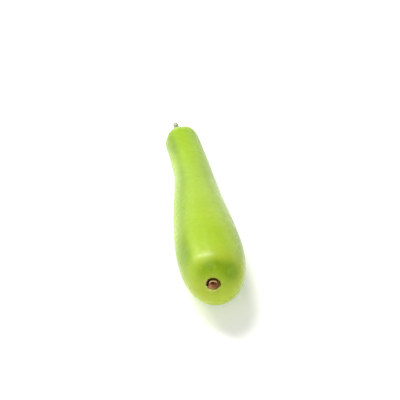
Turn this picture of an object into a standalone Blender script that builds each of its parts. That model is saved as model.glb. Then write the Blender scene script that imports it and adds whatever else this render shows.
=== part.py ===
"""A long bottle gourd, as picked, lying on its side.

It has three pieces: the fruit, the cut stub of its stem, and the dry corky scar that the blossom
left. The fruit lies along Y with its blossom end towards -Y and its neck towards +Y, and it rests on
the ground plane on a small flat spot under the belly and another under the neck.
Lengths are in metres. "Station" is the distance from the blossom end, along the axis.
"""

import math

import bmesh
import bpy
import numpy as np
from mathutils import Matrix, Vector

# ---- Driving dimensions -------------------------------------------------------------------------
LENGTH = 0.390
# The girth of the fruit without its rounded ends, as (station, radius).
GIRTH = (
    (0.0, 0.0433), (0.045, 0.0433), (0.095, 0.0450), (0.150, 0.0409), (0.205, 0.0350),
    (0.265, 0.0290), (0.330, 0.0266), (LENGTH, 0.0266),
)  # fmt: skip
WAIST = 0.200  # parts the belly from the neck

# The centre line's sideways drift, as (station, x): straight to past the middle, then a bent neck.
DRIFT = ((0.0, 0.0), (0.180, 0.0), (0.280, 0.0031), (LENGTH, -0.0020))
# The blossom end turns aside and up, by this much in x and z at its tip.
TURN_REACH = 0.080
TURN_ASIDE, TURN_UP = -0.0050, 0.0110

# Each end is a superellipse: how far it reaches along the axis, and its power (2 is an ellipse).
BLOSSOM_REACH, BLOSSOM_POWER = 0.0682, 2.35
NECK_REACH, NECK_POWER = 0.0280, 2.16

# The five-lobed dimple that the stem grows out of, with a flat floor under the stem's foot.
DIMPLE_DEPTH = 0.0100  # below the tip of the superellipse end
DIMPLE_RADIUS = 0.0185
DIMPLE_FLOOR_RADIUS = 0.0064
LOBES = 5
LOBE_PHASE = math.radians(54)
LOBE_HEIGHT = 0.0010
LOBE_REACH = 0.045  # how far the lobes run down the neck before they fade
CREASE_SPREAD = 0.0028  # how much wider the dimple is between two lobes than at a lobe

# Gentle swells and dents of the skin: station, angle round the axis, height, width along, width round.
SWELLS = (
    (0.017, math.radians(50), -0.0012, 0.015, 0.017),
    (0.030, math.radians(190), -0.0015, 0.018, 0.022),
    (0.038, math.radians(122), 0.0006, 0.020, 0.024),
    (0.150, math.radians(115), 0.0006, 0.045, 0.022),
    (0.230, math.radians(40), -0.0006, 0.040, 0.018),
    (0.300, math.radians(300), 0.0006, 0.040, 0.016),
)

REST_DEPTH = 0.0005  # how much of the underside the two flat spots take off

# The stem grows straight out, then bends up and aside along an arc.
STEM_STRAIGHT = 0.0150
STEM_BEND_RADIUS = 0.0263
STEM_BEND = math.radians(40)
STEM_BEND_ASIDE = math.radians(36)  # from straight up towards -X
STEM_RADIUS = 0.0034
STEM_FOOT_RADIUS = 0.0060
STEM_FLARE = 0.008  # length over which the stem widens into its foot
STEM_RIDGES = 5
STEM_RIDGE_HEIGHT = 0.00035

# The scar sits in a socket a little to the side of the fruit's tip, square to the skin there.
SCAR_OFFSET, SCAR_ANGLE = 0.0083, math.radians(120)
SCAR_RADIUS = 0.0090
SCAR_THICKNESS = 0.0022
SCAR_SOCKET_DEPTH = 0.0036
SCAR_EDGE = 0.0004  # bevel round the scar's rim

GAP = 0.0003  # between pieces that touch

RINGS, SEGMENTS = 66, 50
STEM_POINTS, STEM_SEGMENTS = 16, 20
CUTTER_MARGIN = 0.02

SKIN_COLOUR = (0.40, 0.62, 0.07, 1.0)
STEM_COLOUR = (0.42, 0.50, 0.13, 1.0)
SCAR_COLOUR = (0.20, 0.09, 0.04, 1.0)


# ---- The shape of the fruit ---------------------------------------------------------------------
def smooth_through(points, x):
    """A smooth curve through (place, value) points, level beyond the first and the last.

    It is a cubic between neighbours whose slopes come from the points on either side.
    """
    places, values = np.array(points, float).T
    slopes = np.gradient(values, places)
    x = np.clip(x, places[0], places[-1])
    i = np.clip(np.searchsorted(places, x) - 1, 0, len(places) - 2)
    step = places[i + 1] - places[i]
    t = (x - places[i]) / step
    start = (2 * t**3 - 3 * t**2 + 1) * values[i] + (t**3 - 2 * t**2 + t) * step * slopes[i]
    end = (3 * t**2 - 2 * t**3) * values[i + 1] + (t**3 - t**2) * step * slopes[i + 1]
    return start + end


def eased(x):
    """0 below 0, 1 above 1, and a smooth S between."""
    x = np.clip(x, 0, 1)
    return x * x * (3 - 2 * x)


def round_end(distance, reach, power):
    """The share of the full radius at a distance from the tip of a superellipse end."""
    inward = np.clip(1 - distance / reach, 0, 1)
    return (1 - inward**power) ** (1 / power)


def radius_at(station):
    return (
        smooth_through(GIRTH, station)
        * round_end(station, BLOSSOM_REACH, BLOSSOM_POWER)
        * round_end(LENGTH - station, NECK_REACH, NECK_POWER)
    )


def axis_height():
    """(slope, height at station 0) of the straight axis of a gourd that lies on its belly and neck.

    That line only touches the girth curve, once at the belly and once at the neck.
    """
    station = np.linspace(0, LENGTH, 800)
    radius = radius_at(station)
    slope = 0.0
    for _ in range(12):
        reach = radius - slope * station
        belly = np.argmax(np.where(station < WAIST, reach, 0))
        neck = np.argmax(np.where(station < WAIST, 0, reach))
        slope = (radius[neck] - radius[belly]) / (station[neck] - station[belly])
    return slope, radius[belly] - slope * station[belly] - REST_DEPTH


AXIS_SLOPE, AXIS_START = axis_height()


def centre_line(station):
    """Points of the centre line."""
    turn = np.clip(1 - station / TURN_REACH, 0, 1) ** 2
    x = smooth_through(DRIFT, station) + TURN_ASIDE * turn
    z = AXIS_START + AXIS_SLOPE * station + TURN_UP * turn
    return np.stack([x, station - LENGTH / 2, z], axis=-1)


def unit(vectors):
    return vectors / np.linalg.norm(vectors, axis=-1, keepdims=True)


def directions(station):
    """Unit vectors at stations of the centre line: forward along it, sideways, and upwards."""
    forward = unit(centre_line(station + 0.0005) - centre_line(station - 0.0005))
    sideways = unit(np.cross(forward, (0, 0, 1)))
    return forward, sideways, np.cross(sideways, forward)


def profile(share):
    """(station, radius) at a share of the way along the outline from one pole to the other.

    Shares are measured along the curve, and are packed closer together towards the poles.
    """
    station = LENGTH * eased(eased(np.linspace(0, 1, 4000)))
    radius = radius_at(station)
    run = np.concatenate([[0], np.cumsum(np.hypot(np.diff(station), np.diff(radius)))])
    wanted = run[-1] * (1 - np.cos(math.pi * share)) / 2
    return np.interp(wanted, run, station), np.interp(wanted, run, radius)


def lobe_wave(angle):
    """1 on the crest of each lobe round the stem and -1 in the creases between them."""
    return np.cos(LOBES * (angle - LOBE_PHASE))


def swells(station, angle, radius):
    """How far the skin stands out from the plain turned shape: its swells, and the lobes by the stem."""
    out = LOBE_HEIGHT * lobe_wave(angle) * eased((station - LENGTH + LOBE_REACH) / LOBE_REACH)
    for place, turn, height, along, around in SWELLS:
        aside = radius * (np.mod(angle - turn + math.pi, 2 * math.pi) - math.pi)
        out += height * np.exp(-(((station - place) / along) ** 2) - (aside / around) ** 2)
    return out * eased((radius - DIMPLE_FLOOR_RADIUS) / DIMPLE_FLOOR_RADIUS)


def dimpled(station, angle, radius):
    """The station with the neck's tip pressed in to the dimple's floor, further out at the creases."""
    edge = DIMPLE_RADIUS - CREASE_SPREAD * (1 + lobe_wave(angle)) / 2
    pressed = 1 - eased((radius - DIMPLE_FLOOR_RADIUS) / (edge - DIMPLE_FLOOR_RADIUS))
    pressed = np.where(station > WAIST, pressed, 0)
    return station + pressed * (LENGTH - DIMPLE_DEPTH - station)


def skin(share, angle):
    """Points of the skin, at a share of the way from the blossom pole and an angle round the axis."""
    station, radius = profile(share)
    wide = (radius + swells(station, angle, radius))[..., None]
    place = dimpled(station, angle, radius)
    _, sideways, upwards = directions(place)
    round_axis = np.cos(angle)[..., None] * sideways + np.sin(angle)[..., None] * upwards
    return centre_line(place) + wide * round_axis


def scar_spot():
    """(place, outward direction) on the skin where the middle of the scar is."""
    shares = np.linspace(0, 0.3, 3000)
    share = np.interp(SCAR_OFFSET, profile(shares)[1], shares)
    step = 1e-3
    spots = skin(share + step * np.array([0, 1, -1, 0, 0]), SCAR_ANGLE + step * np.array([0, 0, 0, 1, -1]))
    outward = unit(np.cross(spots[1] - spots[2], spots[3] - spots[4]))
    return Vector(spots[0]), Vector(outward)


# ---- Modelling helpers --------------------------------------------------------------------------
def clear_scene():
    for obj in list(bpy.data.objects):
        bpy.data.objects.remove(obj)


def new_collection(name, hidden=False):
    collection = bpy.data.collections.new(name)
    collection.hide_render = hidden
    bpy.context.scene.collection.children.link(collection)
    return collection


def material(name, colour, roughness):
    made = bpy.data.materials.new(name)
    made.use_nodes = True
    shader = made.node_tree.nodes["Principled BSDF"]
    shader.inputs["Base Color"].default_value = colour
    shader.inputs["Roughness"].default_value = roughness
    shader.inputs["Metallic"].default_value = 0.0
    made.diffuse_color = colour
    return made


def mesh_object(name, bm, collection, look=None):
    mesh = bpy.data.meshes.new(name)
    bm.to_mesh(mesh)
    bm.free()
    obj = bpy.data.objects.new(name, mesh)
    collection.objects.link(obj)
    if look:
        mesh.materials.append(look)
    return obj


def cut(obj, cutter):
    cutter.hide_render = True
    cutter.display_type = "WIRE"
    boolean = obj.modifiers.new(cutter.name, "BOOLEAN")
    boolean.operation = "DIFFERENCE"
    boolean.object = cutter


def disc_along_y(name, radius, thickness, collection, look=None):
    """A solid disc centred on its origin, with its flat faces looking along Y."""
    bm = bmesh.new()
    bmesh.ops.create_cone(
        bm,
        cap_ends=True,
        segments=SEGMENTS,
        radius1=radius,
        radius2=radius,
        depth=thickness,
        matrix=Matrix.Rotation(math.radians(90), 4, "X"),
    )
    return mesh_object(name, bm, collection, look)


# ---- The pieces ---------------------------------------------------------------------------------
def make_fruit(collection, look):
    """A sphere pulled out into the gourd: each of its rings becomes one section of the fruit."""
    bm = bmesh.new()
    bmesh.ops.create_uvsphere(bm, u_segments=SEGMENTS, v_segments=RINGS, radius=1)
    ball = np.array([vertex.co for vertex in bm.verts])
    share = np.arccos(np.clip(ball[:, 2], -1, 1)) / math.pi
    angle = np.arctan2(ball[:, 1], ball[:, 0])
    for vertex, point in zip(bm.verts, skin(share, angle)):
        vertex.co = point
    fruit = mesh_object("fruit", bm, collection, look)
    fruit.data.shade_smooth()
    return fruit


def make_ground_cutter(collection):
    """A box under the ground plane. What it takes off the fruit leaves the two flat spots."""
    half = LENGTH / 2 + CUTTER_MARGIN
    bm = bmesh.new()
    bmesh.ops.create_cube(bm, size=2, matrix=Matrix.Diagonal((half, half, CUTTER_MARGIN, 1)))
    cutter = mesh_object("ground_cutter", bm, collection)
    cutter.location = (0, 0, -CUTTER_MARGIN)
    return cutter


def set_in_skin(obj, depth):
    """Puts a disc at the scar's spot, square to the skin, with its middle this deep under it."""
    spot, outward = scar_spot()
    obj.location = spot - outward * depth
    obj.rotation_euler = outward.to_track_quat("-Y", "Z").to_euler()


def make_scar_socket_cutter(collection):
    """A disc that sinks a round socket into the blossom end."""
    thickness = SCAR_SOCKET_DEPTH + CUTTER_MARGIN
    cutter = disc_along_y("scar_socket_cutter", SCAR_RADIUS + GAP, thickness, collection)
    set_in_skin(cutter, SCAR_SOCKET_DEPTH - thickness / 2)
    return cutter


def make_scar(collection, look):
    """The corky disc where the blossom fell off, sunk in its socket."""
    scar = disc_along_y("blossom_scar", SCAR_RADIUS, SCAR_THICKNESS, collection, look)
    set_in_skin(scar, SCAR_SOCKET_DEPTH - GAP - SCAR_THICKNESS / 2)
    bevel = scar.modifiers.new("edge", "BEVEL")
    bevel.width = SCAR_EDGE
    bevel.segments = 2
    bevel.limit_method = "ANGLE"
    return scar


def make_stem_section(collection):
    """The stem's cross section: a closed curve of radius 1 with a ridge for each lobe of the dimple."""
    curve = bpy.data.curves.new("stem_section", "CURVE")
    curve.dimensions = "2D"
    spline = curve.splines.new("POLY")
    spline.points.add(STEM_SEGMENTS - 1)
    spline.use_cyclic_u = True
    for i, point in enumerate(spline.points):
        angle = -2 * math.pi * i / STEM_SEGMENTS
        radius = STEM_RADIUS + STEM_RIDGE_HEIGHT * math.cos(STEM_RIDGES * angle)
        point.co = (radius * math.cos(angle), radius * math.sin(angle), 0, 1)
    section = bpy.data.objects.new("stem_section", curve)
    section.hide_render = True
    collection.objects.link(section)
    return section


def make_stem(collection, look, section):
    """The stub of the stem: the section carried out of the dimple's floor and round the bend."""
    curve = bpy.data.curves.new("stem", "CURVE")
    curve.dimensions = "3D"
    curve.bevel_mode = "OBJECT"
    curve.bevel_object = section
    curve.use_fill_caps = True
    spline = curve.splines.new("POLY")
    spline.points.add(STEM_POINTS - 1)
    length = STEM_STRAIGHT + STEM_BEND_RADIUS * STEM_BEND
    for i, point in enumerate(spline.points):
        along = length * (i / (STEM_POINTS - 1)) ** 1.4
        turned = max(0, along - STEM_STRAIGHT) / STEM_BEND_RADIUS
        out = min(along, STEM_STRAIGHT) + STEM_BEND_RADIUS * math.sin(turned)
        aside = STEM_BEND_RADIUS * (1 - math.cos(turned))
        point.co = (-aside * math.sin(STEM_BEND_ASIDE), out, aside * math.cos(STEM_BEND_ASIDE), 1)
        point.radius = 1 + (1 - eased(along / STEM_FLARE)) * (STEM_FOOT_RADIUS / STEM_RADIUS - 1)
    stem = bpy.data.objects.new("stem", curve)
    floor = np.array(LENGTH - DIMPLE_DEPTH)
    forward = Vector(directions(floor)[0])
    stem.location = Vector(centre_line(floor)) + forward * GAP
    stem.rotation_euler = forward.to_track_quat("Y", "Z").to_euler()
    curve.materials.append(look)
    collection.objects.link(stem)
    return stem


def centre_over_origin(root, pieces):
    """Moves the root so that the middle of the pieces' footprint is over the origin."""
    bpy.context.view_layer.update()
    graph = bpy.context.evaluated_depsgraph_get()
    spots = []
    for piece in pieces:
        evaluated = piece.evaluated_get(graph)
        spots += [piece.matrix_world @ vertex.co for vertex in evaluated.to_mesh().vertices]
        evaluated.to_mesh_clear()
    spots = np.array(spots)
    middle = (spots.min(axis=0) + spots.max(axis=0)) / 2
    root.location = (-middle[0], -middle[1], 0)
    print("root moved to", [round(value, 5) for value in root.location])


def main():
    clear_scene()
    pieces_collection = new_collection("bottle_gourd")
    cutters = new_collection("cutters", hidden=True)
    root = bpy.data.objects.new("gourd_frame", None)
    pieces_collection.objects.link(root)

    fruit = make_fruit(pieces_collection, material("skin", SKIN_COLOUR, 0.38))
    section = make_stem_section(cutters)
    stem = make_stem(pieces_collection, material("stem", STEM_COLOUR, 0.65), section)
    scar = make_scar(pieces_collection, material("scar", SCAR_COLOUR, 0.85))
    ground = make_ground_cutter(cutters)
    socket = make_scar_socket_cutter(cutters)
    cut(fruit, socket)
    cut(fruit, ground)
    for obj in (fruit, stem, scar, ground, socket):
        obj.parent = root
    centre_over_origin(root, (fruit, stem, scar))


main()
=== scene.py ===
# %% [markdown]
# # A long bottle gourd
#
# A bottle gourd is picked young, while its skin is still soft, waxy and pale green. This one lies on
# its side: a rounded belly, a slimmer neck with a slight bend, the stub of its stem in a lobed dimple
# at one end, and the dry scar of its blossom at the other. The lesson builds it as surfaces worked out
# with numpy and gives each one a material made of nodes.
#
# A gourd has no straight line or flat face to start from, but it does have a centre line and a girth.
# So each surface here is a formula of two numbers: how far along, and how far round.

# %% Load the measured model
import math

import bpy
import numpy as np
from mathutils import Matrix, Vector


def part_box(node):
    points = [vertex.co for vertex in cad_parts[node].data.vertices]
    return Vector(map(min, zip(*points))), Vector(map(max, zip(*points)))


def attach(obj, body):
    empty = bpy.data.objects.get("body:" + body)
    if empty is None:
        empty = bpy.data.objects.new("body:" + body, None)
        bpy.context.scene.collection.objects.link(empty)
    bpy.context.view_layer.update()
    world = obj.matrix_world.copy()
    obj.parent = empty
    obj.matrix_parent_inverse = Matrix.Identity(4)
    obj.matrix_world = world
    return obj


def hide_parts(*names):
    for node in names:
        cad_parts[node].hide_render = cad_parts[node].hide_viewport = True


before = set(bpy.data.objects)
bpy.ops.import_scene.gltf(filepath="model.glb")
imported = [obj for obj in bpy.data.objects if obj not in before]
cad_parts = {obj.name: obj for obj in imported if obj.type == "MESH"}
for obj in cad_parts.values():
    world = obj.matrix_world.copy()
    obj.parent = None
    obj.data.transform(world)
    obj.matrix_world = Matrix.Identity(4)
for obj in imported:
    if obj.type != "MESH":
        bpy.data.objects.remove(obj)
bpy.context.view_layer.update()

# %% [markdown]
# ## Smooth numbers
#
# Growing things change gradually, so a few helpers are used all the way through. One draws a smooth
# curve through a few measured points, as a flexible ruler does. One moves from 0 to 1 without a sharp
# start or stop, and is used wherever one shape fades into another. One is a bell curve, for a spot that
# fades out all round it.


# %% A smooth curve through points, a gentle step and a bell
def smooth_through(points, x):
    """The value at x of a curve through (place, value) points.

    Between two neighbours it is a cubic. Its slope at each point is that of the points on either side.
    """
    places, values = np.array(points, float).T
    slopes = np.gradient(values, places)
    x = np.clip(x, places[0], places[-1])
    i = np.clip(np.searchsorted(places, x) - 1, 0, len(places) - 2)
    step = places[i + 1] - places[i]
    t = (x - places[i]) / step
    start = (2 * t**3 - 3 * t**2 + 1) * values[i] + (t**3 - 2 * t**2 + t) * step * slopes[i]
    end = (3 * t**2 - 2 * t**3) * values[i + 1] + (t**3 - t**2) * step * slopes[i + 1]
    return start + end


def eased(x):
    """0 below 0, 1 above 1, and 3x squared minus 2x cubed between."""
    x = np.clip(x, 0, 1)
    return x * x * (3 - 2 * x)


def bell(x, width):
    """1 where x is 0 and falling away on both sides: exp(-(x / width)^2)."""
    return np.exp(-((x / width) ** 2))


def wrapped(angle):
    """The same angle between -pi and pi, so that a difference goes the short way round."""
    return np.mod(angle + math.pi, 2 * math.pi) - math.pi


# %% [markdown]
# ## The girth
#
# "Station" is the distance from the blossom end, measured along the gourd. The girth curve gives the
# radius at each station. The two ends are rounded by a superellipse: a curve between an ellipse and a
# rounded box, which suits a gourd's blunt blossom end better than half a sphere would.

# %% Girth along the gourd
LENGTH = 0.390
GIRTH = [
    (0.0, 0.0433), (0.045, 0.0433), (0.095, 0.0450), (0.150, 0.0409), (0.205, 0.0350),
    (0.265, 0.0290), (0.330, 0.0266), (LENGTH, 0.0266),
]  # fmt: skip
WAIST = 0.200
BLOSSOM_REACH, BLOSSOM_POWER = 0.0682, 2.35
NECK_REACH, NECK_POWER = 0.0280, 2.16


def round_end(distance, reach, power):
    """The share of the full radius near an end: (1 - (1 - distance/reach)^power)^(1/power)."""
    inward = np.clip(1 - distance / reach, 0, 1)
    return (1 - inward**power) ** (1 / power)


def radius_at(station):
    """The girth curve times the two rounded ends."""
    blossom_end = round_end(station, BLOSSOM_REACH, BLOSSOM_POWER)
    neck_end = round_end(LENGTH - station, NECK_REACH, NECK_POWER)
    return smooth_through(GIRTH, station) * blossom_end * neck_end


print("widest radius in mm:", round(1000 * radius_at(np.linspace(0, LENGTH, 400)).max(), 2))

# %% [markdown]
# ## Lying down
#
# A gourd on a table touches it twice, under the belly and under the neck. The straight part of its
# centre line is found from that: it slopes so that the belly and the neck reach down equally far. The
# blossom end then turns up and aside a little, and the neck drifts sideways, because no gourd grows
# quite straight.


# %% The slope and height of the centre line
PRESSED_FLAT = 0.0005  # how much of the belly and neck is flattened where they rest


def lying_axis():
    """(slope, height at station 0) of the line that is one radius over the ground at both rests."""
    station = np.linspace(0, LENGTH, 800)
    radius = radius_at(station)
    slope = 0.0
    for _ in range(12):
        reach = radius - slope * station
        belly = np.argmax(np.where(station < WAIST, reach, 0))
        neck = np.argmax(np.where(station < WAIST, 0, reach))
        slope = (radius[neck] - radius[belly]) / (station[neck] - station[belly])
    return slope, radius[belly] - slope * station[belly] - PRESSED_FLAT


AXIS_SLOPE, AXIS_START = lying_axis()
print("the axis slopes", round(math.degrees(math.atan(AXIS_SLOPE)), 2), "degrees")

# %% The centre line and the directions along it
DRIFT = [(0.0, 0.0), (0.180, 0.0), (0.280, 0.0031), (LENGTH, -0.0020)]
TURN_REACH, TURN_ASIDE, TURN_UP = 0.080, -0.0050, 0.0110
place = np.zeros(3)  # where the blossom end's own origin is in the frame; measured below


def centre_line(station):
    """x is the drift and z the sloping axis, and near the blossom end both get a parabola's turn."""
    turn = np.clip(1 - station / TURN_REACH, 0, 1) ** 2
    x = smooth_through(DRIFT, station) + TURN_ASIDE * turn
    z = AXIS_START + AXIS_SLOPE * station + TURN_UP * turn
    return np.stack([x, station, z], axis=-1) + place


def unit(vectors):
    """Vectors divided by their own lengths."""
    return vectors / np.linalg.norm(vectors, axis=-1, keepdims=True)


def directions(station):
    """Forward is the centre line's slope, sideways is forward x up, and upwards is sideways x forward."""
    forward = unit(centre_line(station + 0.0005) - centre_line(station - 0.0005))
    sideways = unit(np.cross(forward, (0, 0, 1)))
    return forward, sideways, np.cross(sideways, forward)


# %% [markdown]
# ## The dimple and its lobes
#
# The stem pulls the end of the neck into a dimple. Five lobes stand round it, as in a bell pepper but
# softer, with a crease between each two. Their wave is the absolute value of a cosine: rounded on the
# crests and sharp in the creases, which is how flesh swells on both sides of a fold.

# %% The dimple at the stem end
DIMPLE_FLOOR = LENGTH - 0.0100
DIMPLE_RADIUS, DIMPLE_FLOOR_RADIUS = 0.0185, 0.0064
LOBES, LOBE_PHASE, LOBE_REACH, LOBE_HEIGHT = 5, math.radians(54), 0.045, 0.0010
LOBE_INTO_DIMPLE = 0.0028


def lobe_wave(angle):
    """Near 1 on each lobe and -1 in each crease: 2 |cos(5 angle / 2)| - 1, its sharp turn softened."""
    turn = np.cos(LOBES / 2 * (angle - LOBE_PHASE))
    return 2 * np.sqrt(turn**2 + 0.02) - 1


def dimpled(station, angle, radius):
    """The station, pressed in to the dimple's floor inside its edge, which is wider at a crease."""
    edge = DIMPLE_RADIUS - LOBE_INTO_DIMPLE * (1 + lobe_wave(angle)) / 2
    pressed = 1 - eased((radius - DIMPLE_FLOOR_RADIUS) / (edge - DIMPLE_FLOOR_RADIUS))
    pressed = np.where(station > WAIST, pressed, 0)
    return station + pressed * (DIMPLE_FLOOR - station)


# %% [markdown]
# ## Swells and dents
#
# Skin over flesh is never a perfect turned surface. A few broad swells and dents are placed where this
# gourd has them, each a soft bell curve. Weaker waves of many lengths are added over them. They are
# what makes the long highlights wander as they do on a real gourd.

# %% Broad swells and gentle unevenness
SWELLS = [  # station, angle round the axis, height, width along, width round
    (0.0150, math.radians(41), -0.0022, 0.009, 0.010),
    (0.0160, math.radians(96), -0.0010, 0.008, 0.024),
    (0.0290, math.radians(119), 0.0011, 0.008, 0.013),
    (0.0300, math.radians(80), 0.0005, 0.010, 0.022),
    (0.030, math.radians(190), -0.0015, 0.018, 0.022),
    (0.150, math.radians(115), 0.0006, 0.045, 0.022),
    (0.230, math.radians(40), -0.0006, 0.040, 0.018),
    (0.300, math.radians(300), 0.0006, 0.040, 0.016),
]
UNEVENNESS = 0.00010
chance = np.random.default_rng(12)
WAVES = [
    (chance.integers(0, 6), chance.uniform(8, 95), chance.uniform(0, 6.28), chance.uniform(0.4, 1.0))
    for _ in range(26)
]


def unevenness(station, angle):
    """A sum of cosines of (whole number x angle + wave number x station), weaker when shorter."""
    total = np.zeros_like(station)
    for around, along, phase, weight in WAVES:
        wave = np.cos(around * angle + along * station + phase)
        total += weight * wave / (1 + around / 3 + along / 60)
    return UNEVENNESS * total


def swells(station, angle, radius):
    """The lobes near the stem + (bell along x bell round) for each swell + the unevenness."""
    out = LOBE_HEIGHT * lobe_wave(angle) * eased((station - LENGTH + LOBE_REACH) / LOBE_REACH)
    for where, turn, height, along, around in SWELLS:
        out += height * bell(station - where, along) * bell(radius * wrapped(angle - turn), around)
    out += unevenness(station, angle)
    return out * eased((radius - DIMPLE_FLOOR_RADIUS) / DIMPLE_FLOOR_RADIUS)


# %% [markdown]
# ## Deeper green, painted shade and a painted highlight
#
# The skin of a young gourd is not one flat green. It has soft, deeper stripes along its length, and it
# is deeper in its dents and down its flanks. Much of that deeper green is painted shade: down the
# flanks, where some of the stripes run too, in a band above the scar, and in the dent to its right,
# which is partly a real darker patch. Where the shoulder bulges over the scar, a pale patch is a painted
# highlight. Both are worked out from the same station and angle as the shape, so each colour sits on
# the swell or dent that it belongs to.

# %% Deeper green and painted shade
# Most of these spots are painted shade: down the flanks, in the band above the scar, and in the dent to
# its right, which is partly a real darker patch.
TONES = [  # station, angle, amount of deep green, width along, width round
    (0.0150, math.radians(41), 0.85, 0.009, 0.010),
    (0.0125, math.radians(94), 0.95, 0.009, 0.024),
    (0.350, math.radians(148), 0.70, 0.035, 0.014),
    (0.060, math.radians(158), 0.60, 0.045, 0.020),
    (0.360, math.radians(40), 0.25, 0.030, 0.014),
    (0.250, math.radians(60), 0.15, 0.030, 0.014),
    (0.200, math.radians(138), 0.36, 0.130, 0.024),
    (0.200, math.radians(44), 0.20, 0.120, 0.018),
    (0.090, math.radians(20), 0.35, 0.050, 0.016),
    (0.130, math.radians(285), 0.30, 0.050, 0.030),
    (0.260, math.radians(230), 0.30, 0.060, 0.020),
]
# The stripes are a real deeper green; those at 30, 62 and 136 degrees also stand in for the darker
# flanks, as painted shade.
STRIPES = [  # angle in degrees, amount
    (30, 0.26), (62, 0.14), (136, 0.30), (176, 0.10), (214, 0.26), (262, 0.22), (318, 0.26),
]  # fmt: skip
STRIPE_WIDTH = 0.22


def tone(station, angle, radius):
    """Deep green and painted shade: a bell across each stripe, which wanders as a sine, and each listed
    spot.
    """
    total = 0 * station
    for degrees, amount in STRIPES:
        turn = math.radians(degrees)
        wander = turn + 0.10 * np.sin(17 * station + 3 * turn)
        total += amount * bell(wrapped(angle - wander), STRIPE_WIDTH)
    total *= eased(station / 0.06)
    for where, turn, amount, along, around in TONES:
        total += amount * bell(station - where, along) * bell(radius * wrapped(angle - turn), around)
    return total


# %% A painted highlight on the shoulder
BLOOM_STATION, BLOOM_ANGLE = 0.031, math.radians(114)


def bloom(station, angle, radius):
    """How strong the painted highlight is: a bell along the gourd x a bell round it."""
    return bell(station - BLOOM_STATION, 0.008) * bell(radius * wrapped(angle - BLOOM_ANGLE), 0.013)


# %% [markdown]
# ## From outline to surface
#
# The outline runs from the blossom pole, over the belly and neck, to the middle of the dimple. Measured
# along that curve, a position on it and an angle round the axis give one point of the skin.

# %% Points on the skin
fine = LENGTH * eased(eased(np.linspace(0, 1, 6000)))
fine_radius = radius_at(fine)
fine_run = np.concatenate([[0], np.cumsum(np.hypot(np.diff(fine), np.diff(fine_radius)))])
OUTLINE_RUN = fine_run[-1]


def skin_point(station, radius, angle):
    """Centre line + radius x (cos angle x sideways + sin angle x upwards), with swells and dimple."""
    wide = (radius + swells(station, angle, radius))[..., None]
    spot = dimpled(station, angle, radius)
    _, sideways, upwards = directions(spot)
    outward = np.cos(angle)[..., None] * sideways + np.sin(angle)[..., None] * upwards
    return centre_line(spot) + wide * outward


print("outline length in mm:", round(1000 * OUTLINE_RUN, 1))

# %% [markdown]
# ## Finding the scar
#
# The blossom's scar is a little to the side of the tip, square to the skin. The measured model has a
# plain disc there. The disc's box tells where our own origin has to be, so the surfaces worked out
# here land exactly on the measured ones.

# %% The scar's spot, and our place in the frame
SCAR_OFFSET, SCAR_ANGLE = 0.0083, math.radians(120)
CAP_END = 0.060  # the station up to which the outline still widens, so that a radius tells its station
cap = fine < CAP_END
scar_station = np.interp(SCAR_OFFSET, fine_radius[cap], fine[cap])


def scar_frame():
    """(middle, right, up, outward) of the scar: outward is the cross product of two steps on the skin."""
    step = 1e-4
    station = scar_station + np.array([0, step, -step, 0, 0])
    radius = SCAR_OFFSET + 0 * station
    radius[1:3] = np.interp(station[1:3], fine, fine_radius)
    spots = skin_point(station, radius, SCAR_ANGLE + 0.02 * np.array([0, 0, 0, 1, -1]))
    outward = unit(np.cross(spots[1] - spots[2], spots[3] - spots[4]))
    up = unit(np.array([0, 0, 1]) - outward[2] * outward)
    return spots[0], np.cross(up, outward), up, outward


SCAR_DEPTH = 0.0036
DISC_LIFT = 0.0014  # from the crater's floor up to the middle of the measured disc
disc_low, disc_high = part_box("blossom_scar")
middle, _, _, outward = scar_frame()
place = np.array((disc_low + disc_high) / 2) - (middle - outward * (SCAR_DEPTH - DISC_LIFT))
place[2] = 0.0
scar_middle, scar_right, scar_up, scar_out = scar_frame()
print("place in mm:", np.round(1000 * place, 2), "scar faces", np.round(scar_out, 3))

# %% [markdown]
# ## The crater of the scar
#
# Where the blossom fell off, the skin rolls over a lip and drops into a shallow crater. To model it
# cleanly the rings of the mesh should run round the scar and not round the tip. So the rings start as
# circles about the scar's middle and drift over to the gourd's own axis as they grow.
#
# Above the scar and to its right the skin slopes in softly, like half a funnel. Below it the drop is
# steep, with a dry, straw coloured rim.

# %% Rings that start round the scar
COLUMNS = 256
PULL = 0.034  # the ring radius where the drift to the axis is complete


def ring_runs():
    """Distances along the outline: 0.3 mm apart at the scar, 1.75 on the belly and 0.7 by the stem."""
    run = np.linspace(0, OUTLINE_RUN, 8000)
    gap = 0.0003 + 0.00145 * eased((run - 0.011) / 0.030)
    gap -= 0.00105 * eased((run - OUTLINE_RUN + 0.050) / 0.020)
    count = np.concatenate([[0], np.cumsum(np.diff(run) / gap[1:])])
    rings = int(count[-1])
    return np.interp(np.linspace(0, count[-1], rings), count, run)


def moved_rings(run, angle):
    """Ring of radius r: centre x (1 - eased(r / PULL)) + r (cos, sin), read back as radius and angle."""
    station = np.interp(run, fine_run, fine)
    radius = np.interp(run, fine_run, fine_radius)
    start = (station < CAP_END) & (radius < PULL)
    drift = np.where(start, SCAR_OFFSET * (1 - eased(radius / PULL)), 0)
    across = drift * math.cos(SCAR_ANGLE) + radius * np.cos(angle)
    upward = drift * math.sin(SCAR_ANGLE) + radius * np.sin(angle)
    new_radius = np.hypot(across, upward)
    new_station = np.interp(new_radius, fine_radius[cap], fine[cap])
    return np.where(start, new_station, station), new_radius, np.arctan2(upward, across)


def scar_coordinates(points):
    """(distance from the scar's middle across the skin, angle round it, height over it) of points."""
    offset = points - scar_middle
    right, up, height = offset @ scar_right, offset @ scar_up, offset @ scar_out
    return np.hypot(right, up), np.arctan2(up, right), height


# %% The crater's edge
CRATER_WIDE, CRATER_TALL = 0.0088, 0.0070


def ellipse(turn, wide, tall):
    """The radius of an ellipse in one direction: wide x tall / sqrt((tall cos)^2 + (wide sin)^2)."""
    return wide * tall / np.hypot(tall * np.cos(turn), wide * np.sin(turn))


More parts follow.
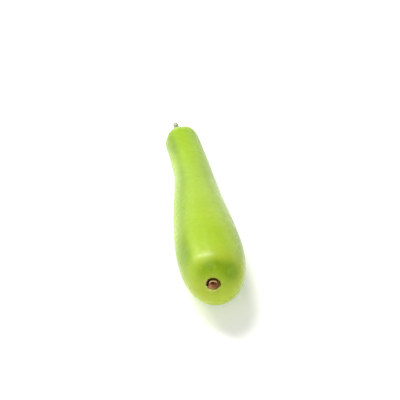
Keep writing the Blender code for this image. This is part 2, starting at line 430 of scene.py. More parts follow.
def crater_edge(turn):
    """The crater's radius: an ellipse plus a few cosines, strongest at the two sides."""
    ragged = (0.00040 - 0.00015 * np.cos(turn)) * np.cos(13 * turn + 0.5) * np.cos(turn) ** 2
    ragged += 0.00014 * np.cos(5 * turn) + 0.0001 * np.cos(9 * turn + 2)
    return ellipse(turn, CRATER_WIDE, CRATER_TALL) + ragged


# %% The lip and the drop into the crater
NEAR_ACROSS, NEAR_BELOW = 0.020, 0.006  # how far the scar reaches over the skin and under its middle
SOFT_WAY = math.radians(60)  # the angle round the scar, to its upper right, where the skin slopes in
PALE_WAY = -1.95  # the angle round the scar, to its lower left, where its wall is palest
STRAW_WAY = -2.1  # the angle where the rim is driest
SPECKS = [  # right and up from the scar's middle, size, and how pale, or how dark if below 0
    (0.0061, -0.0080, 0.0010, 1.5), (-0.0109, 0.0014, 0.0009, 1.5), (0.0062, -0.0101, 0.0008, -0.8),
]  # fmt: skip


def crater_depth(beyond, turn, height, soft):
    """How far each point moves outward: lip + pucker - depth x an eased drop that starts at the edge.

    soft is 1 where the skin slopes in like a funnel and 0 where the drop is steep.
    """
    lip = 0.00040 * (1 - soft) * bell(beyond - 0.0014, 0.0011)
    pucker = 0.00020 * np.cos(11 * turn + 1) * bell(beyond - 0.0010, 0.0020)
    start = 0.0006 + 0.0026 * soft
    drop = eased((start - beyond) / (start + 0.0006))
    depth = SCAR_DEPTH * (0.5 + 0.5 * eased((np.sin(turn) + 1) / 1.1))
    return lip + pucker + drop * (-depth - height)


def crater_colours(beyond, turn, soft):
    """(how dead and shaded, how straw coloured): a ramp down the wall, and two bells across the rim."""
    # The ramp down the wall is the dead wall's colour and painted shade; it starts further out on the
    # upper right, where the skin slopes in.
    brown = np.clip((0.0004 + 0.0024 * soft - beyond) / (0.0008 + 0.0036 * soft), 0, 1)
    brown *= 1 - 0.85 * bell(turn - PALE_WAY, 0.60)
    brown *= 1 - 0.4 * (1 - soft) * (0.5 + 0.5 * np.cos(7 * turn + 2))
    straw = (1 - soft) * bell(beyond - 0.0011, 0.0013)
    straw += 1.6 * bell(beyond - 0.0012, 0.0017) * bell(turn - STRAW_WAY, 0.35)
    return brown, straw


def crater(points):
    """(move outward, how dead and shaded, how straw coloured) of each point, all 0 away from the scar."""
    across, turn, height = scar_coordinates(points)
    beyond = across - crater_edge(turn)
    soft = eased((np.cos(turn - SOFT_WAY) + 0.2) / 0.9)
    brown, straw = crater_colours(beyond, turn, soft)
    for right, up, size, weight in SPECKS:
        away = np.hypot(across * np.cos(turn) - right, 1.3 * (across * np.sin(turn) - up))
        straw += max(weight, 0) * bell(away, size)
        brown += max(-weight, 0) * bell(away, size)
    near = (across < NEAR_ACROSS) & (height > -NEAR_BELOW)
    move = crater_depth(beyond, turn, height, soft)
    return [np.where(near, values, 0) for values in (move, brown, straw)]


# %% [markdown]
# ## Meshes from grids
#
# Every surface in this lesson is a grid of rings whose first and last ring shrink to one point, like
# the circles of latitude on a globe. One helper turns such a grid into a mesh: a single point at each
# pole, a fan of triangles round it, and four-sided faces between the rings. Numbers such as the
# station are stored on the points too, for the materials to read.


# %% An object from arrays
def make_piece(name, vertices, faces, **numbers):
    """A smooth object of these points and faces, with each named array stored as a number per point."""
    mesh = bpy.data.meshes.new(name)
    mesh.from_pydata(vertices.tolist(), [], faces)
    mesh.shade_smooth()
    for key, values in numbers.items():
        store = mesh.attributes.new(key, "FLOAT", "POINT")
        store.data.foreach_set("value", values.astype(np.float32))
    piece = bpy.data.objects.new(name, mesh)
    bpy.context.scene.collection.objects.link(piece)
    size = 1000 * (vertices.max(axis=0) - vertices.min(axis=0))
    print(name, "has", len(vertices), "points; box in mm:", np.round(size, 1))
    return piece


# %% Turning a grid into a closed mesh
def with_poles(grid):
    """Rings x columns of values in one row, with the first and last ring each averaged into a pole."""
    between = grid[1:-1].reshape(-1, *grid.shape[2:])
    return np.concatenate([grid[0].mean(axis=0)[None], between, grid[-1].mean(axis=0)[None]])


def closed_grid(name, points, **numbers):
    """A mesh of rings x columns points whose first and last rings become the two poles."""
    rings, columns = points.shape[:2]
    ring = 1 + columns * np.arange(rings - 2)[:, None] + np.arange(columns)
    beside = np.roll(ring, -1, axis=1)
    quads = np.stack([ring[:-1], ring[1:], beside[1:], beside[:-1]], axis=-1).reshape(-1, 4)
    first = np.stack([np.zeros(columns, int), ring[0], beside[0]], axis=-1)
    last = np.stack([np.full(columns, ring[-1, -1] + 1), beside[-1], ring[-1]], axis=-1)
    faces = [*first.tolist(), *quads.tolist(), *last.tolist()]
    stored = {key: with_poles(values) for key, values in numbers.items()}
    return make_piece(name, with_poles(points), faces, **stored)


# %% The skin
# The deeper green in the creases is painted shade.
CREASE_START, CREASE_FULL = 0.340, 0.385  # the stations between which the creases' green comes in


def build_skin():
    """skin_point over the moved rings, pressed in at the scar and cut level at the ground."""
    run, angle = np.meshgrid(ring_runs(), 2 * math.pi * np.arange(COLUMNS) / COLUMNS, indexing="ij")
    station, radius, turned = moved_rings(run, angle)
    points = skin_point(station, radius, turned)
    move, brown, straw = crater(points)
    points = points + move[..., None] * scar_out
    points[..., 2] = np.maximum(points[..., 2], 0)
    # Painted shade in the creases between the lobes, near the stem.
    crease = eased(0.5 - 0.5 * lobe_wave(turned))
    crease *= eased((station - CREASE_START) / (CREASE_FULL - CREASE_START))
    return closed_grid(
        "gourd_skin",
        points,
        station=station / LENGTH,
        brown=brown,
        straw=straw,
        crease=crease,
        tone=tone(station, turned, radius),
        bloom=bloom(station, turned, radius),
        stem_distance=np.where(station > WAIST, radius, 1),
    )


gourd_skin = build_skin()

# %% [markdown]
# ## The corky plug
#
# The crater holds a plug of dry, reddish cork. It is a low dome, set nearer the lower edge. A pale
# ridge stands over its upper half like a low arch, and under the arch are two deep holes and a shallow
# one, where the flower was joined. The plug is a disc of rings whose height is a sum of simple shapes,
# closed underneath. How pale and how dark each place is follows from the same shapes: the arch's pale
# tan is partly a painted highlight, and the near black in the holes, round the plug's edge and above
# the arch is painted shade.


# %% The plug's height
PLUG_RIGHT, PLUG_UP = 0.0004, -0.0010
PLUG_WIDE, PLUG_TALL = 0.0066, 0.0062
ARCH_RIGHT, ARCH_WIDE, ARCH_TALL, ARCH_POWER = 0.0007, 0.0056, 0.0040, 2.4
HOLE_DEPTH = 0.0030
HOLES = [  # right and up from the scar's middle, half width, half height, depth
    (-0.0022, 0.0014, 0.00105, 0.00085, HOLE_DEPTH),
    (0.0004, 0.0016, 0.00100, 0.00080, HOLE_DEPTH),
    (0.0037, 0.0006, 0.00115, 0.00090, 0.0008),
]


def plug_arch(right, up):
    """(size, ridge): (x/width)^2.4 + (y/height)^2.4, which is 1 on the arch, and a bell across it."""
    size = (np.abs(right - ARCH_RIGHT) / ARCH_WIDE) ** ARCH_POWER
    size += (np.maximum(up, 0) / ARCH_TALL) ** ARCH_POWER
    return size, bell(size ** (1 / ARCH_POWER) - 1, 0.17) * eased((up + 0.0002) / 0.0018)


def plug_holes(right, up):
    """A bell for each hole, as a share of the deepest, with edges bent by two sines."""
    bent_right = right + 0.00030 * np.sin(2100 * up + 1)
    bent_up = up + 0.00022 * np.sin(2600 * right)
    return sum(
        depth / HOLE_DEPTH * bell(bent_right - aside, wide) * bell(bent_up - over, tall)
        for aside, over, wide, tall, depth in HOLES
    )


def plug_shape(right, up):
    """(height over the crater's floor, how pale, how dark): dome + arch - holes + grain + crumbs."""
    x, y = right - PLUG_RIGHT, up - PLUG_UP
    turn = np.arctan2(y, x)
    edge = ellipse(turn, PLUG_WIDE, PLUG_TALL)
    edge += 0.0003 * np.cos(3 * turn + 1) + 0.0002 * np.cos(7 * turn)
    share = np.hypot(x, y) / edge
    dome = (0.0025 - 0.09 * y) * eased((1.10 - share) / 0.24) * (1 - 0.2 * share**2)
    arch, ridge = plug_arch(right, up)
    knots = 1 + 0.30 * np.cos(1700 * right - 0.4) + 0.18 * np.cos(2900 * right)
    holes = plug_holes(right, up)
    grain = 0.00011 * np.cos(900 * x + 2 * np.sin(700 * y))
    grain += 0.00008 * np.cos(1500 * y + 2 * np.sin(1100 * x))
    crumbs = 0.0005 * eased((share - 1) / 0.15) * (1 + 0.5 * np.cos(17 * turn))
    height = dome + 0.0010 * ridge * knots - HOLE_DEPTH * holes + grain + crumbs
    # The arch's pale tan is partly the cork's own colour and partly a painted highlight where the ridge
    # catches the light.
    pale = ridge * (1 - 0.45 * eased((right - 0.0026) / 0.0018)) * knots
    # Painted shade: near black round the plug's edge, where it sits low in the crater, and in the hollow
    # above the arch.
    outside = eased((share - 0.93) / 0.12) * eased((up + 0.0050) / 0.0030)
    outside += eased((arch - 1.5) / 0.8) * eased(up / 0.0020)
    # The holes are painted near black as well: painted shade.
    return np.maximum(height, 0.0001), pale, np.clip(2 * holes + outside, 0, 1)


# %% The plug as a closed disc
TOP_RINGS, UNDER_RINGS, PLUG_COLUMNS = 70, 6, 200


def build_plug():
    """Rings out from the middle over the top, round the edge, and back to the middle underneath."""
    share = np.concatenate([np.linspace(0, 1, TOP_RINGS), np.linspace(1, 0, UNDER_RINGS)])[:, None]
    on_top = (np.arange(len(share)) < TOP_RINGS)[:, None]
    turn = 2 * math.pi * np.arange(PLUG_COLUMNS) / PLUG_COLUMNS
    reach = crater_edge(turn) + 0.0001
    right, up = share * reach * np.cos(turn), share * reach * np.sin(turn)
    height, pale, dark = plug_shape(right, up)
    height = np.where(on_top, 0.0004 + height, -0.0006) - SCAR_DEPTH
    points = scar_middle + right[..., None] * scar_right + up[..., None] * scar_up
    return closed_grid(
        "scar_plug",
        points + height[..., None] * scar_out,
        pale=pale,
        dark=dark,
        lower_left=(-0.6 * right - up) / CRATER_TALL,
        lower_right=(right - 0.6 * up) / CRATER_WIDE,
    )


scar_plug = build_plug()

# %% [markdown]
# ## The dried fringe
#
# Round the plug, the dead base of the flower is left as a dark, papery fringe with uneven points that
# lean inwards over the cork. It is a ring with a thin, flattened cross-section. Its inner edge moves in
# and out with the angle to make the points.


# %% The fringe as a ring
def tube_ring(name, points, **numbers):
    """A mesh of rings x columns points that closes on itself both ways, like a doughnut."""
    rings, columns = points.shape[:2]
    index = np.arange(rings * columns).reshape(rings, columns)
    beside, after = np.roll(index, -1, axis=1), np.roll(index, -1, axis=0)
    both = np.roll(beside, -1, axis=0)
    quads = np.stack([index, after, both, beside], axis=-1).reshape(-1, 4)
    stored = {key: values.ravel() for key, values in numbers.items()}
    return make_piece(name, points.reshape(-1, 3), quads.tolist(), **stored)


def fringe_points(turn):
    """How far each point of the fringe reaches in: |sin| waves of three uneven lengths, sharpened."""
    wave = np.abs(np.sin(3.5 * turn + 0.4)) ** 3 + 0.6 * np.abs(np.sin(5.5 * turn + 1.7)) ** 4
    return (wave + 0.5 * np.abs(np.sin(12.5 * turn + 0.3)) ** 3) / 2.1


FRINGE_RINGS, FRINGE_COLUMNS = 220, 12


def build_fringe():
    """A flattened loop at each angle round: from the outer root over to the inner tip and back."""
    turn = 2 * math.pi * np.arange(FRINGE_RINGS) / FRINGE_RINGS
    section = 2 * math.pi * np.arange(FRINGE_COLUMNS) / FRINGE_COLUMNS
    turn, section = np.meshgrid(turn, section, indexing="ij")
    inward = (1 - np.cos(section)) / 2
    upper = eased((np.sin(turn + 0.35) + 0.75) / 1.1)
    pointed = fringe_points(turn)
    reach = (0.0006 + 0.0022 * pointed) * (0.20 + 0.80 * upper)
    across = crater_edge(turn) - 0.0002 - 0.0006 * eased(np.sin(turn)) - reach * inward
    thick = 0.00026 * np.sin(section) * (1 - 0.6 * inward)
    lean = -0.0015 - 0.0005 * upper + 0.0002 * np.cos(4 * turn) - 0.0006 * inward**2 * pointed
    height = lean + thick + 0.00015 * np.cos(31 * turn) * inward
    points = scar_middle + (across * np.cos(turn))[..., None] * scar_right
    points = points + (across * np.sin(turn))[..., None] * scar_up + height[..., None] * scar_out
    olive = 0.1 + 0.9 * eased((np.cos(turn) + 0.1) / 0.9)
    pale = bell(wrapped(turn - PALE_WAY), 0.6)
    return tube_ring("scar_fringe", points, inward=inward, olive=olive, pale=pale)


scar_fringe = build_fringe()

# %% [markdown]
# ## The stem
#
# The stem is a fibrous stalk with five ridges. It widens into a foot where it holds the fruit, starts
# straight, then turns up and to one side. The cut at its end is slanted, so that its pale pith and
# darker rim face back over the fruit. A radius is carried along a path that is worked out from its
# heading: each short step goes where the heading points.

# %% The stem's path
STEM_RUN = 0.0325
STEM_RADIUS = 0.0034
LEAN_ASIDE = math.radians(25)
FIRST_TURN, SECOND_TURN = math.radians(24), math.radians(54)
stem_forward, stem_side, stem_up = directions(np.array(DIMPLE_FLOOR))
stem_start = centre_line(np.array(DIMPLE_FLOOR))
bend_way = math.cos(LEAN_ASIDE) * stem_up - math.sin(LEAN_ASIDE) * stem_side
stem_fine = np.linspace(-0.002, STEM_RUN + 0.002, 400)
heading = FIRST_TURN * eased((stem_fine - 0.012) / 0.012)
heading += SECOND_TURN * eased((stem_fine - 0.022) / 0.012)
step = stem_fine[1] - stem_fine[0]
ahead = stem_fine[0] + np.concatenate([[0], np.cumsum(np.cos(heading[:-1]) * step)])
aside = np.concatenate([[0], np.cumsum(np.sin(heading[:-1]) * step)])


def stem_path(run):
    """(places, directions along, directions towards the bend).

    The heading turns in two gentle steps. The place is the running sum of its cosine ahead and its
    sine aside.
    """
    turn = np.interp(run, stem_fine, heading)[..., None]
    places = stem_start + np.interp(run, stem_fine, ahead)[..., None] * stem_forward
    places = places + np.interp(run, stem_fine, aside)[..., None] * bend_way
    along = np.cos(turn) * stem_forward + np.sin(turn) * bend_way
    return places, along, np.cos(turn) * bend_way - np.sin(turn) * stem_forward


tip, tip_along, _ = stem_path(np.array(STEM_RUN))
print("stem tip in mm:", np.round(1000 * tip, 1), "pointing", np.round(tip_along, 2))

# %% The stem's surface
STALK_RINGS, CUT_RINGS, STEM_COLUMNS = 70, 6, 120


def stem_outline():
    """(run, radius) pairs: out over the foot, up the stalk, round the cut edge, and in over the pith."""
    stalk = np.linspace(0, 1, STALK_RINGS)[1:] ** 1.3 * (STEM_RUN - 0.0004)
    flare = 1 - eased(stalk / 0.008)
    thick = STEM_RADIUS + 0.0024 * flare**1.4 + 0.0003 * np.cos(stalk * 420) * eased(stalk / 0.01)
    cut = STEM_RUN + 0.0001 * np.array([-1, 0.5, 0, -3, -5, -5, -5])
    rim = STEM_RADIUS * np.array([0.97, 0.88, 0.72, 0.60, 0.45, 0.2, 0])
    run = np.concatenate([[-0.0008, -0.0008, -0.0003], stalk, cut])
    return run, np.concatenate([[0, 0.0050, 0.0060], thick, rim])


def build_stem():
    """Path + radius x (1 + ridges) x (cos, sin), with the cut end slanted to face back over the fruit."""
    run, radius = stem_outline()
    angle = 2 * math.pi * np.arange(STEM_COLUMNS) / STEM_COLUMNS
    on_cut = (np.arange(len(run)) >= len(run) - CUT_RINGS)[:, None]
    run, angle = np.meshgrid(run, angle, indexing="ij")
    radius = np.broadcast_to(radius[:, None], run.shape)
    twisted = angle + 14 * run
    ridge = np.abs(np.cos(2.5 * twisted)) ** 0.8
    rough = 0.10 * ridge + 0.022 * np.cos(17 * twisted + 60 * run) + 0.012 * np.cos(29 * twisted)
    foot = 1 - eased(run / 0.007)
    wide = radius * (0.93 + rough + 0.16 * foot * (ridge - 0.5))
    places, along, toward = stem_path(run)
    other = np.cross(along, toward)
    outward = np.cos(angle)[..., None] * toward + np.sin(angle)[..., None] * other
    slant = 0.45 * wide * (outward @ stem_forward) * eased((run - STEM_RUN + 0.006) / 0.006)
    points = places + wide[..., None] * outward + slant[..., None] * along
    pith = on_cut * (1 - radius / STEM_RADIUS)
    return closed_grid("stem_stub", points, ridge=ridge, run=run / STEM_RUN, pith=pith)


stem_stub = build_stem()

# %% [markdown]
# ## Materials made of nodes
#
# A material is a small network: textures and stored numbers feed colours, the colours feed one
# Principled shader. A few short helpers keep the networks readable. They read a number stored on the
# points, make a noise, spread a range of numbers, mix two colours, turn a number into a colour by a
# ramp, and stack bumps.


# %% Node helpers
class Nodes:
    """Adds nodes to one material; a value is either a socket to link from or a constant."""

    def __init__(self, name):
        self.material = bpy.data.materials.new(name)
        self.material.use_nodes = True
        self.tree = self.material.node_tree
        self.shader = self.tree.nodes["Principled BSDF"]
        self.where = self.add("ShaderNodeTexCoord").outputs["Object"]

    def plug(self, socket, value):
        """Link a socket into another one, or set its constant."""
        if isinstance(value, bpy.types.NodeSocket):
            self.tree.links.new(value, socket)
        else:
            socket.default_value = value

    def add(self, kind, settings=None, **inputs):
        """A node with its settings, and its inputs by name, with _ for a space."""
        node = self.tree.nodes.new(kind)
        for key, value in (settings or {}).items():
            setattr(node, key, value)
        for key, value in inputs.items():
            self.plug(node.inputs[key.replace("_", " ")], value)
        return node

    def number(self, name):
        """A number stored on the mesh's points."""
        return self.add("ShaderNodeAttribute", {"attribute_name": name}).outputs["Fac"]

    def noise(self, scale, detail=3.0, stretch=(1, 1, 1), roughness=0.5):
        """Noise in the object's own space; a stretch below 1 draws it out along that axis."""
        mapped = self.add("ShaderNodeMapping", Vector=self.where, Scale=stretch).outputs["Vector"]
        made = self.add("ShaderNodeTexNoise", Vector=mapped, Scale=scale, Detail=detail)
        made.inputs["Roughness"].default_value = roughness
        return made.outputs["Fac"]

    def range(self, value, low, high, to_low=0.0, to_high=1.0):
        """The value eased from to_low at low to to_high at high."""
        settings = {"clamp": True, "interpolation_type": "SMOOTHSTEP"}
        ends = {"From_Min": low, "From_Max": high, "To_Min": to_low, "To_Max": to_high}
        return self.add("ShaderNodeMapRange", settings, Value=value, **ends).outputs["Result"]

    def mix(self, factor, first, second):
        """first x (1 - factor) + second x factor, for colours."""
        made = self.add("ShaderNodeMix", {"data_type": "RGBA"})
        self.plug(made.inputs["Factor"], factor)
        self.plug(made.inputs["A"], first)
        self.plug(made.inputs["B"], second)
        return made.outputs["Result"]

    def ramp(self, value, *stops):
        """The colour at value, straight between (position, colour) stops."""
        made = self.add("ShaderNodeValToRGB", Fac=value)
        spots = made.color_ramp.elements
        while len(spots) < len(stops):
            spots.new(0.5)
        for spot, (position, colour) in zip(spots, stops):
            spot.position, spot.color = position, (*colour, 1)
        return made.outputs["Color"]

    def times(self, value, by):
        """value x by."""
        made = self.add("ShaderNodeMath", {"operation": "MULTIPLY"})
        self.plug(made.inputs[0], value)
        self.plug(made.inputs[1], by)
        return made.outputs["Value"]

    def bumps(self, *layers):
        """Bumps of (height, strength, distance), one on top of the other, to the shader's normal."""
        normal = None
        for height, strength, distance in layers:
            made = self.add("ShaderNodeBump", Height=height, Strength=strength, Distance=distance)
            if normal:
                self.plug(made.inputs["Normal"], normal)
            normal = made.outputs["Normal"]
        self.plug(self.shader.inputs["Normal"], normal)

    def set(self, **inputs):
        """Inputs of the shader by name, with _ for a space."""
        for key, value in inputs.items():
            self.plug(self.shader.inputs[key.replace("_", " ")], value)


# %% [markdown]
# ## The skin's finish
#
# Young gourd skin is waxy and slightly see-through: light enters it, spreads, and comes out greener.
# Its colour is yellower at the blossom end. Deeper green is laid down its flanks, in a band above the
# scar and in the dents, much of it painted shade, and a pale painted highlight sits on the shoulder.
# Then come soft mottling, faint streaks along the gourd, pale flecks, and painted shade in the creases
# by the stem. Beside the scar the skin turns straw yellow, and inside the crater it is brown and dead,
# with painted shade down its wall that reaches furthest out on the upper right. The colours are mixed
# one over another, in that order.


# %% Skin colour
def skin_colour(n):
    """Base by station, deep green and painted shade, painted highlight, mottling, streaks, flecks,
    creases, rim, crater.
    """
    base = n.ramp(
        n.number("station"),
        (0.00, (0.330, 0.400, 0.030)),
        (0.08, (0.335, 0.440, 0.026)),
        (0.14, (0.330, 0.475, 0.022)),
        (0.30, (0.300, 0.440, 0.018)),
        (0.60, (0.275, 0.425, 0.015)),
        (0.92, (0.265, 0.415, 0.014)),
        (1.00, (0.340, 0.460, 0.040)),
    )
    # Deeper green, much of it painted shade on the flanks, in the band above the scar and in the dent.
    colour = n.mix(n.range(n.number("tone"), 0.0, 1.0), base, (0.140, 0.240, 0.001, 1))
    # A pale patch on the shoulder: a painted highlight.
    colour = n.mix(n.times(n.number("bloom"), 0.6), colour, (0.440, 0.560, 0.140, 1))
    mottle = n.range(n.noise(22, 4, (1, 0.45, 1)), 0.42, 0.66)
    colour = n.mix(n.times(mottle, 0.36), colour, (0.220, 0.370, 0.005, 1))
    streaks = n.range(n.noise(210, 3, (1, 0.06, 1)), 0.52, 0.72)
    colour = n.mix(n.times(streaks, 0.20), colour, (0.340, 0.460, 0.050, 1))
    flecks = n.range(n.noise(760, 2, (1, 0.7, 1)), 0.56, 0.74)
    colour = n.mix(n.times(flecks, 0.28), colour, (0.400, 0.500, 0.100, 1))
    # Painted shade in the creases, deepest near the dimple.
    crease = n.times(n.number("crease"), n.range(n.number("stem_distance"), 0.030, 0.008))
    colour = n.mix(n.times(crease, 0.75), colour, (0.180, 0.340, 0.015, 1))
    blotches = n.range(n.noise(240, 2), 0.40, 0.60, 0.1, 0.9)
    straw = n.mix(n.range(n.noise(90, 1), 0.45, 0.58), (0.470, 0.470, 0.140, 1), (0.440, 0.310, 0.140, 1))
    colour = n.mix(n.times(n.number("straw"), blotches), colour, straw)
    # The crater's wall: dead brown tissue, darkened further as painted shade.
    dead = n.ramp(
        n.number("brown"),
        (0.00, (0.330, 0.360, 0.040)),
        (0.25, (0.290, 0.300, 0.030)),
        (0.50, (0.210, 0.200, 0.018)),
        (0.75, (0.120, 0.105, 0.007)),
        (1.00, (0.048, 0.036, 0.003)),
    )
    return n.mix(n.range(n.number("brown"), 0.0, 0.25), colour, dead)


# %% Skin gloss and bump
def skin_finish():
    """Wax of uneven gloss over flesh that lets some light in; the dead wall of the crater is dull."""
    n = Nodes("waxy_green_skin")
    waxy = n.range(n.noise(60, 4), 0.35, 0.70, 0.25, 0.35)
    rough = n.mix(n.range(n.number("brown"), 0.05, 0.35), waxy, (0.85, 0.85, 0.85, 1))
    n.set(Base_Color=skin_colour(n), Roughness=rough, IOR=1.28)
    n.set(Subsurface_Weight=0.16, Subsurface_Radius=(0.6, 1.0, 0.15), Subsurface_Scale=0.006)
    n.bumps((n.noise(120, 3, (1, 0.4, 1)), 0.06, 0.0008), (n.noise(1500, 2), 0.09, 0.0002))
    return n.material


gourd_skin.data.materials.append(skin_finish())

# %% [markdown]
# ## The scar's finish
#
# Cork is dull and grainy. How pale and how dark each place is was stored on the plug's points, so the
# arch comes out pale tan, partly a painted highlight, and the holes, the plug's edge and the hollow
# above the arch come out nearly black as painted shade. The cork is pinker to its lower left, and
# darker and more olive to its lower right, as painted shade where it meets the skin. The fringe is
# darker still, with olive on the right where it is not quite dead, and a pale, dry stretch at its lower
# left.


# %% Cork and fringe
def cork_finish():
    """Red by grain, pink and olive by side, dark blotches, then the pale arch and near black painted
    shade.
    """
    n = Nodes("reddish_cork")
    grain = n.noise(900, 4, roughness=0.7)
    cork = n.mix(n.range(grain, 0.35, 0.70), (0.260, 0.098, 0.050, 1), (0.095, 0.034, 0.014, 1))
    cork = n.mix(n.range(n.number("lower_left"), 0.0, 1.0, 0.0, 0.8), cork, (0.420, 0.210, 0.110, 1))
    # Darker olive towards the lower right: painted shade where the plug meets the skin.
    cork = n.mix(n.range(n.number("lower_right"), 0.35, 0.90, 0.0, 0.7), cork, (0.120, 0.070, 0.010, 1))
    cork = n.mix(n.times(n.range(n.noise(420, 3), 0.44, 0.60), 0.6), cork, (0.100, 0.040, 0.012, 1))
    # The arch's pale tan, partly a painted highlight.
    colour = n.mix(n.range(n.number("pale"), 0.25, 0.85), cork, (0.560, 0.390, 0.170, 1))
    # Near black painted shade in the holes, round the plug's edge and above the arch.
    colour = n.mix(n.range(n.number("dark"), 0.15, 0.75), colour, (0.012, 0.006, 0.001, 1))
    n.set(Base_Color=colour, Roughness=n.range(grain, 0.3, 0.7, 0.75, 0.95), Specular_IOR_Level=0.05)
    n.bumps((grain, 0.9, 0.0006), (n.noise(2600, 2), 0.5, 0.0003))
    return n.material


def fringe_finish():
    """Dark patches, darker tips, then olive and pale by side."""
    n = Nodes("dried_fringe")
    patches = n.noise(520, 3)
    colour = n.mix(n.range(patches, 0.38, 0.68), (0.012, 0.008, 0.001, 1), (0.080, 0.060, 0.008, 1))
    colour = n.mix(n.times(n.number("inward"), 0.5), colour, (0.030, 0.014, 0.003, 1))
    colour = n.mix(n.times(n.number("olive"), 0.7), colour, (0.150, 0.125, 0.010, 1))
    colour = n.mix(n.number("pale"), colour, (0.330, 0.200, 0.070, 1))
    n.set(Base_Color=colour, Roughness=n.range(patches, 0.3, 0.7, 0.7, 0.9), Specular_IOR_Level=0.05)
    n.bumps((n.noise(1400, 3), 0.5, 0.0003))
    return n.material


scar_plug.data.materials.append(cork_finish())
scar_fringe.data.materials.append(fringe_finish())

# %% [markdown]
# ## The stem's finish
#
# The stalk's ridges are pale, and its furrows are painted a darker green as painted shade. Towards the
# cut it dries and darkens. The cut itself shows a dark olive ring and a pale, spongy pith.


# %% Stalk and cut
def stem_finish():
    """Painted shade in the furrows, pale ridges, then fibres, the dry end, and the cut's rings by share
    of the way in.
    """
    n = Nodes("ribbed_stalk")
    fibre = n.noise(700, 4, (1, 0.12, 1))
    # Darker green in the furrows and paler on the ridges: painted shade.
    furrow = n.range(n.number("ridge"), 0.15, 0.85)
    colour = n.mix(furrow, (0.200, 0.270, 0.050, 1), (0.520, 0.600, 0.210, 1))
    colour = n.mix(n.times(n.range(fibre, 0.4, 0.65), 0.5), colour, (0.360, 0.420, 0.120, 1))
    colour = n.mix(n.times(n.range(n.number("run"), 0.75, 1.0), 0.8), colour, (0.180, 0.210, 0.100, 1))
    cut = n.ramp(
        n.number("pith"),
        (0.00, (1.0, 1.0, 1.0)),
        (0.06, (0.06, 0.075, 0.03)),
        (0.30, (0.08, 0.10, 0.04)),
        (0.42, (0.42, 0.47, 0.27)),
        (1.00, (0.36, 0.42, 0.24)),
    )
    colour = n.mix(n.range(n.number("pith"), 0.01, 0.05), colour, cut)
    n.set(Base_Color=colour, Roughness=n.range(fibre, 0.3, 0.7, 0.55, 0.75), Specular_IOR_Level=0.35)
    n.bumps((fibre, 0.5, 0.0004), (n.noise(1800, 2), 0.25, 0.0002))
    return n.material


stem_stub.data.materials.append(stem_finish())

# %% [markdown]
# ## Standing for the measured pieces
#
# The skin, the plug and the stem each take the place of one piece of the measured model, which stays in
# the physics. The fringe is an extra of the scar. All four ride on the part's one body, because nothing
# on a gourd moves.

# %% Ride and replace
for piece, node, slot in (
    (gourd_skin, "fruit", "skin"),
    (scar_plug, "blossom_scar", "scar"),
    (stem_stub, "stem", "stem"),
):
    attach(piece, "root")
    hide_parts(node)
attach(scar_fringe, "root")

# %% [markdown]
# ## Floor and light
#
# A pale gourd looks best on a bright, plain floor. The floor is a wide disc that curves up at its rim,
# like the paper sweep of a studio, and glows a little, so that it stays white all the way back. The
# main light is a soft panel high up behind and to the left. It puts a highlight on the back and the
# shoulder, and leaves the end that faces the camera a little darker. A small panel, lower on the left,
# adds a second glint. A large weak panel in front and a pale world fill the shadows.


# %% The floor
FLOOR_FLAT, FLOOR_RISE, FLOOR_TURNS = 4.0, 2.5, 96
FULL_GLOW_HEIGHT = 0.6


def floor_finish():
    """Near white, with a weak glow where it is flat and a stronger one further up its rim."""
    n = Nodes("pale_floor")
    height = n.add("ShaderNodeSeparateXYZ", Vector=n.where).outputs["Z"]
    n.set(Base_Color=(0.93, 0.93, 0.92, 1), Roughness=0.6, Specular_IOR_Level=0.2)
    glow = n.range(height, 0.0, FULL_GLOW_HEIGHT, 0.12, 0.95)
    n.set(Emission_Color=(1, 1, 1, 1), Emission_Strength=glow)
    return n.material


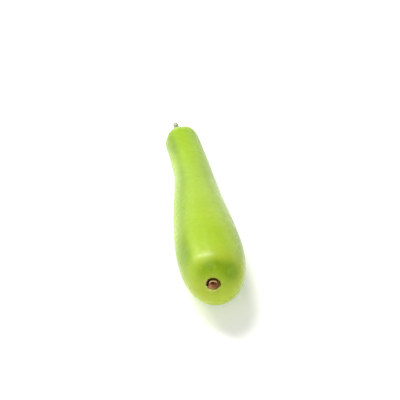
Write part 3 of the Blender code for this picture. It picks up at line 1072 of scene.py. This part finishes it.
def build_floor():
    """Pairs (out, height), flat up to one radius and then a quarter circle, turned about the middle."""
    lean = np.linspace(0, math.pi / 2, 24)
    out = np.concatenate([[0, 0.5, 1.5, 3.0], FLOOR_FLAT + FLOOR_RISE * np.sin(lean)])
    rise = np.concatenate([[0, 0, 0, 0], FLOOR_RISE * (1 - np.cos(lean))])
    turn = 2 * math.pi * np.arange(FLOOR_TURNS) / FLOOR_TURNS
    rise, turn = np.meshgrid(rise, turn, indexing="ij")
    points = np.stack([out[:, None] * np.cos(turn), out[:, None] * np.sin(turn), rise], axis=-1)
    index = FLOOR_TURNS * np.arange(len(out))[:, None] + np.arange(FLOOR_TURNS)
    beside = np.roll(index, -1, axis=1)
    quads = np.stack([index[:-1], index[1:], beside[1:], beside[:-1]], axis=-1)[1:].reshape(-1, 4)
    floor = make_piece("floor", points.reshape(-1, 3), [index[1].tolist(), *quads.tolist()])
    floor.data.materials.append(floor_finish())
    return floor


floor = build_floor()


# %% Soft lights
def soft_light(name, where, size, power):
    """A square area light of this size in metres, facing the gourd."""
    light = bpy.data.lights.new(name, "AREA")
    light.shape, light.size, light.energy = "SQUARE", size, power
    lamp = bpy.data.objects.new(name, light)
    lamp.location = where
    lamp.rotation_euler = (-Vector(where)).to_track_quat("-Z", "Y").to_euler()
    bpy.context.scene.collection.objects.link(lamp)
    return lamp


soft_light("overhead_panel", (-0.58, 0.88, 1.95), 1.1, 46)
soft_light("left_panel", (-1.25, 1.15, 1.20), 0.40, 12)
soft_light("front_panel", (-0.6, -3.0, 1.8), 3.0, 54)

world = bpy.data.worlds.new("pale_world")
world.use_nodes = True
world.node_tree.nodes["Background"].inputs["Color"].default_value = (1, 1, 1, 1)
world.node_tree.nodes["Background"].inputs["Strength"].default_value = 0.30
bpy.context.scene.world = world
bpy.context.scene.view_settings.view_transform = "Standard"

# %% [markdown]
# ## Camera
#
# The camera looks down on the blossom end from the front left, with a long lens from about a metre and
# a half, so the gourd is foreshortened and its neck runs away from us.


# %% The camera
def build_camera(azimuth, elevation, distance, target, lens):
    """On a sphere round the target: (sin a cos e, -cos a cos e, sin e) x distance."""
    a, e = math.radians(azimuth), math.radians(elevation)
    back = Vector((math.sin(a) * math.cos(e), -math.cos(a) * math.cos(e), math.sin(e)))
    camera = bpy.data.objects.new("camera", bpy.data.cameras.new("camera"))
    camera.data.lens = lens
    camera.location = Vector(target) + back * distance
    camera.rotation_euler = (-back).to_track_quat("-Z", "Y").to_euler()
    bpy.context.scene.collection.objects.link(camera)
    bpy.context.scene.camera = camera
    return camera


target = (place[0] + 0.0019, place[1] + LENGTH / 2, 0.0503)
camera = build_camera(azimuth=-8.08, elevation=39.29, distance=1.55, target=target, lens=99.28)
print("camera at", [round(value, 3) for value in camera.location])
